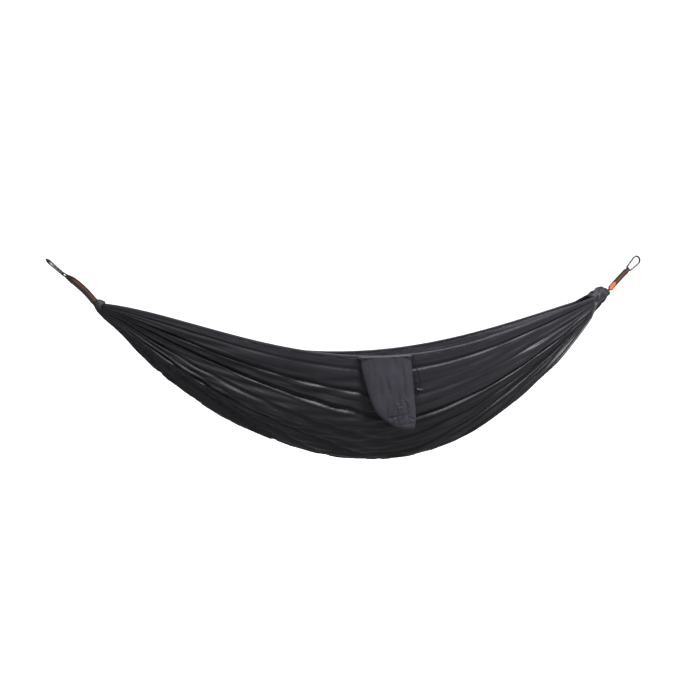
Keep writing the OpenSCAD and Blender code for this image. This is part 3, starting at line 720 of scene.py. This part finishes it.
def stitchLines(name, lines, body, slot, thread, spacing=0.0035, length=0.0026, radius=0.00032):
    points, edges = [], []
    for line in lines:
        start = len(points)
        points += [tuple(p) for p in line]
        edges += [(start + k, start + k + 1) for k in range(len(line) - 1)]
    mesh = bpy.data.meshes.new(name)
    mesh.from_pydata(points, edges, [])
    piece = addObject(name, mesh)
    modifier = piece.modifiers.new("stitches", "NODES")
    modifier.node_group = stitching
    for label, value in (("Spacing", spacing), ("Stitch Length", length), ("Thread Radius", radius),
                         ("Thread", thread)):
        setInput(modifier, label, value)
    applyModifiers(piece)
    return finishPiece(piece, body, None, slot)


# the thread runs near the top of each hem, on its outer face
hemStitches = {"from": 30, "to": -30, "rise": 0.46, "proud": 0.0001, "nearCol": 4, "farCol": 0}
for hemName, hemGrid, side in (("nearHemStitches", nearHemGrid, -1), ("farHemStitches", farHemGrid, 1)):
    outer = hemStitches["nearCol"] if side < 0 else hemStitches["farCol"]
    low = hemGrid[hemStitches["from"]:hemStitches["to"], outer].copy()
    low[:, 2] += hang["hem"] * hemStitches["rise"]
    low[:, 1] += side * hemStitches["proud"]
    stitchLines(hemName, [low], "hammock", "hem_cloth", rustThread if side < 0 else hemCloth)
print("hem stitches laid")

# ---- webbing loops, each one closed ribbon round the rod and the bunched cloth ----
bightX = bunch["nose"] - bunch["length"] * 0.36                 # where the ribbon turns back inside the cloth
eye = loop["rod"] + loop["gap"] + loop["thickness"] / 2         # its middle line round the carabiner's rod
mid = loop["bight"] + loop["thickness"] / 2                     # and round the lower turn
strapLook = {"acrossSteps": 8, "legSteps": 90, "eyeSteps": 14, "bightSteps": 12, "legGap": 0.00025, "pinch": 0.0065,
             # distances along the loop from the gathered end
             "pinchEnd": 0.018, "fullAt": 0.030, "meetAt": 0.040, "halfway": 0.060, "turnFrom": 0.100, "turnTo": 0.145,
             "narrowFrom": 0.131, "narrowTo": 0.147, "eyeReach": 0.034}


def legOff(x):
    together = loop["thickness"] / 2 + strapLook["legGap"]
    low = mix(mid, together, rise(x, bightX, strapLook["meetAt"]))
    high = mix(together, eye, smoothStep((x - (loop["length"] - strapLook["eyeReach"])) / strapLook["eyeReach"]))
    return np.where(x < strapLook["halfway"], low, high)


def loopWidth(x, pinched):
    eyeW = loop["base"] - 2 * loop["gap"]
    width = mix(loop["width"], eyeW, rise(x, strapLook["narrowFrom"], strapLook["narrowTo"]))
    if pinched:
        opening = rise(x, strapLook["pinchEnd"], strapLook["fullAt"]) ** 0.6
        width = np.minimum(width, mix(strapLook["pinch"], loop["width"], opening))
    return width


def loopPath(pinched):
    x = np.linspace(bightX, loop["length"], strapLook["legSteps"] + 1)
    front = np.stack([x, -legOff(x)], axis=1)
    back = np.stack([x, legOff(x)], axis=1)[::-1]
    a = np.radians(np.linspace(-90, 90, strapLook["eyeSteps"] + 1)[1:-1])
    over = np.stack([loop["length"] + eye * np.cos(a), eye * np.sin(a)], axis=1)
    b = np.radians(np.linspace(90, 270, strapLook["bightSteps"] + 1)[1:-1])
    under = np.stack([bightX + mid * np.cos(b), mid * np.sin(b)], axis=1)
    flat = np.concatenate([front, over, back, under])
    return flat, loopWidth(flat[:, 0], pinched)


def loopTurn(x, twist):
    return np.radians(twist) * rise(x, strapLook["turnFrom"], strapLook["turnTo"])


def loopBow(x, bow):
    w = np.clip((x - bunch["nose"]) / (loop["length"] - bunch["nose"]), 0, 1)
    return 4 * bow * w * (1 - w)


def placeLoop(local, side, twist, bow):
    x, y, z = local[..., 0], local[..., 1], local[..., 2]
    a = loopTurn(x, twist)
    yy = y * np.cos(a) - z * np.sin(a)
    zz = y * np.sin(a) + z * np.cos(a) + loopBow(x, bow)
    centre, along, lateral = endFrame(side)
    return centre + x[..., None] * along + yy[..., None] * np.array([0, 1, 0]) + zz[..., None] * lateral


def webbingUv(x, v):
    return np.stack(np.broadcast_arrays(x[:, None], np.concatenate([v + 0.5, (v + 0.5)[::-1]])[None]), axis=-1)


def makeStrap(name, side, twist, bow, pinched, material, node):
    flat, width = loopPath(pinched)
    closed = np.concatenate([flat, flat[:1]])
    width = np.concatenate([width, width[:1]])
    v = np.linspace(-0.5, 0.5, strapLook["acrossSteps"] + 1)
    local = np.zeros((len(closed), len(v), 3))
    local[..., 0] = closed[:, 0, None]
    local[..., 1] = closed[:, 1, None]
    local[..., 2] = width[:, None] * v[None]
    tangent = np.gradient(closed, axis=0)
    tangent[0] = tangent[-1] = closed[1] - closed[-2]
    tangent = unit(tangent)
    normal = np.stack([tangent[:, 1], -tangent[:, 0]], axis=1)
    crown = loop["thickness"] / 2 * (1 - 0.25 * (2 * np.abs(v)) ** 3)
    outer, inner = local.copy(), local.copy()
    for k in (0, 1):
        outer[..., k] += normal[:, None, k] * crown[None]
        inner[..., k] -= normal[:, None, k] * crown[None]
    ring = np.concatenate([outer, inner[:, ::-1]], axis=1)[:-1]
    placed = placeLoop(ring, side, twist, bow)
    rows, cols = placed.shape[:2]
    faces = []
    for i in range(rows):
        for j in range(cols):
            k, n = (j + 1) % cols, (i + 1) % rows
            faces.append((i * cols + j, i * cols + k, n * cols + k, n * cols + j))
    piece = shell(name, placed, faces, webbingUv(closed[:-1, 0], v))
    finishPiece(piece, "hammock", material, "webbing", node)
    return piece


makeStrap("leftStrap", -1, loop["leftTwist"], loop["leftBow"], False, leftWebbing, "left_strap")
makeStrap("rightStrap", 1, 0, loop["rightBow"], True, rightWebbing, "right_strap")

# the sewn-down tail of each loop, with its stitched box and cross
tail = {"start": 0.041, "length": 0.025, "sink": 0.0001, "inset": 0.003, "narrower": 0.001, "steps": 12, "cols": 7,
        "lineSteps": 9, "levelAt": 0.05, "proud": 0.0001}


def makeTail(name, side, twist, bow, node):
    steps, cols = tail["steps"], tail["cols"]
    x = np.linspace(tail["start"], tail["start"] + tail["length"], steps)
    v = np.linspace(-0.5, 0.5, cols)
    middle = legOff(x) + loop["thickness"] - tail["sink"]
    half = loop["thickness"] / 2 * (1 - 0.3 * (2 * np.abs(v)) ** 4)
    wide = loop["width"] - tail["narrower"]
    outer, inner = np.zeros((steps, cols, 3)), np.zeros((steps, cols, 3))
    for grid, sign in ((outer, 1), (inner, -1)):
        grid[..., 0] = x[:, None]
        grid[..., 1] = middle[:, None] + sign * half[None]
        grid[..., 2] = wide * v[None]
    ring = placeLoop(np.concatenate([outer, inner[:, ::-1]], axis=1), side, twist, bow)
    piece = shell(name, ring, closedFaces(*ring.shape[:2]), webbingUv(x, v))
    finishPiece(piece, "hammock", leftWebbing if side < 0 else rightWebbing, "webbing", node)
    lines = []
    a, b = tail["start"] + tail["inset"], tail["start"] + tail["length"] - tail["inset"]
    c = wide / 2 - tail["inset"]
    corners = [(a, -c), (b, -c), (b, c), (a, c), (a, -c), (b, c)], [(b, -c), (a, c)]
    leg = legOff(np.array([tail["levelAt"]]))[0]
    for level in (leg + 1.5 * loop["thickness"] + tail["proud"], -leg - loop["thickness"] / 2 - tail["proud"]):
        for path in corners:
            for (x0, z0), (x1, z1) in zip(path[:-1], path[1:]):
                w = np.linspace(0, 1, tail["lineSteps"])
                local = np.stack([mix(x0, x1, w), np.full(len(w), level), mix(z0, z1, w)], axis=1)
                lines.append(placeLoop(local, side, twist, bow))
    stitchLines(name + "Stitches", lines, "hammock", "webbing", cordBraid, 0.0028, 0.0022, 0.0003)


makeTail("leftTail", -1, loop["leftTwist"], loop["leftBow"], "left_strap_tack")
makeTail("rightTail", 1, 0, loop["rightBow"], "right_strap_tack")
print("webbing loops made")

# ---- the hard pieces keep their solids and get their finish ----
solidFinishes = (
    (gunmetal, ("left_carabiner_body", "left_gate", "right_carabiner_body", "right_gate")),
    (steel, ("left_gate_pin", "right_gate_pin", "left_gate_spring", "right_gate_spring", "cord_lock_spring")),
    (lockPlastic, ("cord_lock_barrel", "cord_lock_button")),
    (cordBraid, ("pouch_mouth_cord",)))
for finish, nodeNames in solidFinishes:
    for nodeName in nodeNames:
        nodes[nodeName].data.materials.clear()
        nodes[nodeName].data.materials.append(finish)

# ---- pouch ----
pouch = {"place": 1.033, "w": 0.196, "h": 0.288, "depth": 0.016, "panel": 0.001, "gap": 0.0004, "mouthR": 0.0022,
         "cord": 0.0025, "channelGap": 0.0003, "rows": 120, "cols": 90, "top": -0.0015, "seamT": 0.0016,
         "mouthDrop": 0.002, "mouthOver": 0.003, "frontT": 0.0006, "backT": 0.0008,
         # each side's outline: share of the way down, then shares of the width and the height
         "left": [(0, -0.50, 0), (0.2, -0.45, 0.21), (0.4, -0.35, 0.44), (0.6, -0.18, 0.73), (0.8, 0.12, 0.91),
                  (1, 0.40, 1)],
         "right": [(0, 0.50, 0), (0.2, 0.54, 0.25), (0.4, 0.575, 0.48), (0.6, 0.61, 0.70), (0.8, 0.625, 0.87),
                   (1, 0.60, 0.99)]}
pouchT = pouch["place"] / hang["span"]
hingeY = -bedHalf(pouchT) - hang["hemProud"] - pouch["seamT"] - pouch["gap"]
hinge = np.array([endX + pouch["place"], hingeY, rimNear(pouchT)])
backY = -pouch["gap"] - pouch["panel"] - pouch["cord"] / 2 - pouch["channelGap"]
frontY = -pouch["depth"] + pouch["mouthR"]
mouthZ = -pouch["mouthR"] - pouch["mouthDrop"]
mouthHalf = pouch["w"] / 2 + pouch["mouthOver"]


def edgeCurve(rows, v):
    table = throughPoints(rows, 12)
    return pouch["w"] * np.interp(v, table[:, 0], table[:, 1]), -pouch["h"] * np.interp(v, table[:, 0], table[:, 2])


def puff(u, v):
    return np.maximum(0, np.sin(math.pi * u)) ** 0.45 * np.sqrt(np.maximum(0, 1 - v ** 4))


def creases(x, z, u, v):
    rng = np.random.default_rng(21)
    total = np.zeros_like(x)
    for k in range(20):                                        # long creases down the front
        place, lean, width = rng.uniform(-0.09, 0.11), rng.uniform(-0.05, 0.30), rng.uniform(0.003, 0.010)
        top, length = rng.uniform(-0.02, 0.12), rng.uniform(0.08, 0.22)
        along = np.clip((-z - top) / length, 0, 1)
        total += rng.uniform(-0.0030, 0.0030) * np.exp(-((x - place + lean * z) / width) ** 2) * np.sin(math.pi * along)
    for k in range(26):                                        # crumples round the patch and at the foot
        cx, cz = rng.uniform(0.02, 0.12), rng.uniform(-0.28, -0.17)
        turn, width, reach = rng.uniform(0, math.pi), rng.uniform(0.003, 0.006), rng.uniform(0.012, 0.03)
        a = (x - cx) * math.cos(turn) + (z - cz) * math.sin(turn)
        b = -(x - cx) * math.sin(turn) + (z - cz) * math.cos(turn)
        total += rng.uniform(-0.0036, 0.0030) * np.exp(-(a / width) ** 2 - (b / reach) ** 2)
    for corner, sign in ((-0.5, 1), (0.5, -1)):                # gathers below the two mouth corners
        far = (x - corner * pouch["w"]) * sign
        total += 0.0026 * np.sin(far * 520 + z * 90) * np.exp(-(far / 0.024) ** 2) * np.exp(z / 0.05)
    return total * np.minimum(1, 6 * np.minimum(u, 1 - u)) * np.minimum(1, 8 * (1 - v))


def pouchGrid(front):
    v = np.linspace(0, 1, pouch["rows"])
    u = np.linspace(0, 1, pouch["cols"])
    vv, uu = np.meshgrid(v, u, indexing="ij")
    lx, lz = edgeCurve(pouch["left"], vv)
    rx, rz = edgeCurve(pouch["right"], vv)
    x, z = mix(lx, rx, uu), mix(lz, rz, uu)
    if front:
        y = -mix(pouch["gap"] + 2 * pouch["panel"], pouch["depth"], puff(uu, vv)) - creases(x, z, uu, vv)
        y = y - 0.0012 * np.exp(-(vv / 0.05) ** 2) * puff(uu, vv)
    else:
        y = np.full_like(x, -pouch["gap"] - pouch["panel"])
    return np.stack([x, y, z + pouch["top"]], axis=-1) + hinge


def clothPanel(name, grid, thickness, offset=1):
    return outwards(thicken(gridPiece(name, grid, frontUv(grid)), thickness, offset))


pouchFront = clothPanel("pouchFront", pouchGrid(True), pouch["frontT"])
finishPiece(pouchFront, "pouch", pouchCloth, "cloth", "pouch_front")
pouchBack = clothPanel("pouchBack", pouchGrid(False), pouch["backT"])
finishPiece(pouchBack, "pouch", pouchCloth, "cloth", "pouch_back")


# the bare patch, a little crumpled, stitched down round its edge
patch = {"u": 0.66, "v": 0.60, "w": 0.054, "h": 0.038, "lift": 0.0007, "thickness": 0.0006, "threadLift": 0.0004,
         "rows": 24, "cols": 34}
patchCloth = hammockCloth("patchNylon", (0.020, 0.019, 0.025), (0.033, 0.032, 0.041), 0)


def patchGrid(lift):
    v = np.linspace(-1, 1, patch["rows"])
    u = np.linspace(-1, 1, patch["cols"])
    vv, uu = np.meshgrid(v, u, indexing="ij")
    us = patch["u"] + patch["w"] / pouch["w"] / 2 * uu
    vs = patch["v"] + patch["h"] / pouch["h"] / 2 * vv
    lx, lz = edgeCurve(pouch["left"], vs)
    rx, rz = edgeCurve(pouch["right"], vs)
    x, z = mix(lx, rx, us), mix(lz, rz, us)
    y = -mix(pouch["gap"] + 2 * pouch["panel"], pouch["depth"], puff(us, vs)) - creases(x, z, us, vs) - lift
    return np.stack([x, y, z + pouch["top"]], axis=-1) + hinge


pouchLabel = clothPanel("pouchPatch", patchGrid(patch["lift"]), patch["thickness"])
finishPiece(pouchLabel, "pouch", patchCloth, "cloth", "pouch_label")
edgeIn = patchGrid(patch["lift"] + patch["threadLift"])
patchEdge = np.concatenate([edgeIn[1, 1:-1], edgeIn[1:-1, -2], edgeIn[-2, 1:-1][::-1], edgeIn[1:-1, 1][::-1]])
stitchLines("patchStitches", [patchEdge], "pouch", "cloth", hemCloth, 0.003, 0.0023, 0.00028)

# rolled edge round the pouch
binding = {"r": 0.0016, "steps": 60, "from": 0.02, "sides": 10, "ruffle": 0.35, "threadLift": 0.0017}
steps = np.linspace(binding["from"], 1, binding["steps"])
leftX, leftZ = edgeCurve(pouch["left"], steps)
rightX, rightZ = edgeCurve(pouch["right"], steps)
footX, footZ = (leftX[-1] + rightX[-1]) / 2, (leftZ[-1] + rightZ[-1]) / 2
edgeX = np.concatenate([leftX, [footX], rightX[::-1]])
edgeZ = np.concatenate([leftZ, [footZ], rightZ[::-1]])
edgeRun = np.concatenate([[0], np.cumsum(np.hypot(np.diff(edgeX), np.diff(edgeZ)))])
edgeLine = np.stack([edgeX, np.full_like(edgeX, -pouch["gap"] - binding["r"]), edgeZ + pouch["top"]], axis=1) + hinge
ruffle = binding["r"] * (1 + binding["ruffle"] * np.sin(edgeRun * 330) * np.sin(edgeRun * 90 + 1))
pouchBinding = tubePiece("pouchBinding", edgeLine, ruffle, binding["sides"])
# the raw selvage that frills out beyond the rolled edge on the left
frill = {"wide": 0.010, "wave": 0.0026, "rows": 150, "cols": 7, "behind": 0.0012, "thickness": 0.0004}
frillRun = np.linspace(0, edgeRun[binding["steps"] - 2], frill["rows"])
frillLine = np.stack([np.interp(frillRun, edgeRun, edgeLine[:, k]) for k in range(3)], axis=1)
frillOut = np.cross(unit(np.gradient(frillLine, axis=0)), [0, 1, 0])
frillW = np.linspace(0, 1, frill["cols"])
frillWide = frill["wide"] * (0.75 + 0.25 * np.sin(frillRun * 150) * np.sin(frillRun * 47 + 1))
frillWide = frillWide * np.minimum(1, 12 * (1 - frillRun / frillRun[-1]))
frillWave = frill["wave"] * np.sin(frillRun * 420 + 3 * np.sin(frillRun * 60))
frillGrid = (frillLine[:, None] + frillOut[:, None] * frillWide[:, None, None] * frillW[None, :, None]
             + np.array([0, 1, 0]) * frillWave[:, None, None] * frillW[None, :, None]
             - np.array([0, frill["behind"], 0]))
frillPiece = clothPanel("frill", frillGrid, frill["thickness"], 0)
joined = bmesh.new()
joined.from_mesh(pouchBinding.data)
joined.from_mesh(frillPiece.data)
joined.to_mesh(pouchBinding.data)
joined.free()
bpy.data.objects.remove(frillPiece)
finishPiece(pouchBinding, "pouch", hemCloth, "binding_tape", "pouch_binding")
threadLine = edgeLine - np.array([0, binding["threadLift"], 0])
stitchLines("pouchEdgeStitches", [threadLine], "pouch", "binding_tape", rustTape, 0.0032, 0.0024, 0.0003)


# the mouth: one channel that runs along the front and back and round the left corner, with its cord inside
def mouthLine(count=70):
    turn = (backY - frontY) / 2
    a = np.linspace(math.pi / 2, 3 * math.pi / 2, 14)
    x = np.concatenate([np.linspace(mouthHalf, -mouthHalf, count), -mouthHalf + turn * np.cos(a[1:-1]),
                        np.linspace(-mouthHalf, mouthHalf, count)])
    y = np.concatenate([np.full(count, backY), (backY + frontY) / 2 + turn * np.sin(a[1:-1]), np.full(count, frontY)])
    return np.stack([x, y, np.full_like(x, mouthZ)], axis=1) + hinge


mouth = mouthLine()
mouthRun = runAlong(mouth)
cornerPull = sum(np.exp(-((mouth[:, 0] - hinge[0] + corner) / 0.02) ** 2) for corner in (mouthHalf, -mouthHalf))
mouthR = pouch["mouthR"] * (1.0 + (0.10 + 0.35 * cornerPull) * np.sin(mouthRun * 640 + 2 * np.sin(mouthRun * 70)))
mouthHem = tubePiece("pouchMouthHem", mouth, mouthR, 14, (0, 0, 1))
finishPiece(mouthHem, "pouch", hemCloth, "cloth", "pouch_mouth_hem")

# the seam allowance that carries the pouch on the rim
seam = {"over": 0.004, "steps": 40, "topDrop": 0.0005}
seamX = np.linspace(-pouch["w"] / 2 - seam["over"], pouch["w"] / 2 + seam["over"], seam["steps"])
seamT = (pouch["place"] + seamX) / hang["span"]
seamRim, seamBack = rimNear(seamT), -bedHalf(seamT) - hang["hemProud"]
seamFront = np.full(seam["steps"], hinge[1] + pouch["gap"])
seamTop, seamLow = (np.full(seam["steps"], hinge[2] - drop) for drop in (seam["topDrop"], hang["hem"]))
seamSection = ((seamFront, seamTop), (seamBack, seamRim - seam["topDrop"]),
               (seamBack, seamRim - hang["hem"]), (seamFront, seamLow))
seamGrid = np.stack([np.stack([hinge[0] + seamX, y, z], axis=1) for y, z in seamSection], axis=1)
pouchSeam = shell("pouchSeam", seamGrid, closedFaces(seam["steps"], 4), frontUv(seamGrid), smooth=False)
finishPiece(pouchSeam, "hammock", hemCloth, "hem_cloth", "pouch_seam")
print("pouch made")

# ---- drawstring ----
# routes in millimetres from the middle of the pouch's hinge line; "straight" is in metres down through the lock
string = {"d": 0.0025, "pair": 0.0032, "lockX": 0.131, "lockZ": -0.136, "lean": 11.5, "steps": 6,
          "front": [(105, -13.6, -7), (108, -13.2, -14), (112, -12.4, -32), (118, -11.4, -54), (127, -10.2, -74),
                    (135, -9, -88)],
          "back": [(106, -3.2, -7), (110, -3.8, -15), (117, -4.8, -34), (125, -5.8, -56), (131, -6.8, -74),
                   (134, -7.7, -88)],
          "loop": [(131, -8, -160), (135, -8, -167), (135, -8, -175), (130, -8, -179), (125, -8, -176),
                   (123.5, -8, -168), (124.5, -8, -160)],
          "straight": [-0.034, -0.026, -0.014, 0, 0.012, 0.017]}
knotLook = {"down": 0.0105, "r": 0.00155, "steps": 60, "sides": 10}
leanA = math.radians(string["lean"])


def pairPoint(down, side):
    return (string["lockX"] - down * math.sin(leanA) + side * string["pair"] / 2 * math.cos(leanA),
            (backY + frontY) / 2,
            string["lockZ"] - down * math.cos(leanA) - side * string["pair"] / 2 * math.sin(leanA))


def metres(rows):
    return [tuple(c / 1000 for c in p) for p in rows]


def stringRoute():
    start = mouthHalf + pouch["gap"]
    return ([(start, frontY, mouthZ)] + metres(string["front"]) + [pairPoint(d, 1) for d in string["straight"]]
            + metres(string["loop"]) + [pairPoint(d, -1) for d in string["straight"][::-1]]
            + metres(string["back"])[::-1] + [(start, backY, mouthZ)])


stringLine = throughPoints(stringRoute(), string["steps"]) + hinge
drawstring = tubePiece("drawstring", stringLine, string["d"] / 2, 12)
finishPiece(drawstring, "drawstring", cordBraid, "cord", "drawstring")


def knotLine():
    centre = np.array(pairPoint(knotLook["down"], 0)) + hinge
    a = np.linspace(0, 2 * math.pi, knotLook["steps"])
    trefoil = np.stack([np.sin(a) + 0.9 * np.sin(2 * a), 0.85 * np.sin(3 * a), np.cos(a) - 0.9 * np.cos(2 * a)], axis=1)
    return centre + knotLook["r"] * trefoil


knot = tubePiece("drawstringKnot", knotLine(), string["d"] / 2, knotLook["sides"], (0.13, 0.77, 0.31))
finishPiece(knot, "drawstring", cordBraid, "cord", "drawstring_knot")

# ---- studio ----
studio = {"floorZ": -1.6, "world": 0.42, "paper": 0.75,
          # each lamp's place, what it is aimed at, its width and its power
          "lamps": {"key": ((2.3, -1.9, 2.3), (1.1, 0, -0.45), 1.2, 260),
                    "fill": ((-1.4, -2.6, 0.9), (0.8, 0, -0.4), 1.8, 28),
                    "top": ((1.0, 0.8, 2.4), (1.2, 0, -0.4), 2.6, 60)}}


def makeStudio():
    size, back, wall = 9.0, 6.5, 6.0
    profile = [(-size, 0), (back - 2, 0)]
    profile += [(back - 2 + 2 * math.sin(a), 2 - 2 * math.cos(a)) for a in np.linspace(0.15, math.pi / 2, 10)]
    profile += [(back, wall)]
    points = [(x, y, studio["floorZ"] + z) for x in (-8, 10.5) for y, z in profile]
    n = len(profile)
    floor = meshPiece("floor", points, [(k, k + n, k + n + 1, k + 1) for k in range(n - 1)])
    paper = Finish("palePaper", (0.85, 0.85, 0.85), 0.9)
    paper.shader.inputs["Emission Color"].default_value = (1, 1, 1, 1)
    paper.shader.inputs["Emission Strength"].default_value = studio["paper"]
    floor.data.materials.append(paper.material)
    floor.visible_diffuse = floor.visible_glossy = False
    floor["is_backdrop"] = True
    world = bpy.data.worlds.new("studio")
    world.use_nodes = True
    world.node_tree.nodes["Background"].inputs["Color"].default_value = (1, 1, 1, 1)
    world.node_tree.nodes["Background"].inputs["Strength"].default_value = studio["world"]
    bpy.context.scene.world = world
    for name, (place, target, wide, power) in studio["lamps"].items():
        light = bpy.data.lights.new(name, "AREA")
        light.shape = "SQUARE"
        light.size = wide
        light.energy = power
        aim(addObject(name, light), place, Vector(target) - Vector(place))
    bpy.context.scene.view_settings.view_transform = "Standard"


makeStudio()
print("studio made")

low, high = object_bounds()
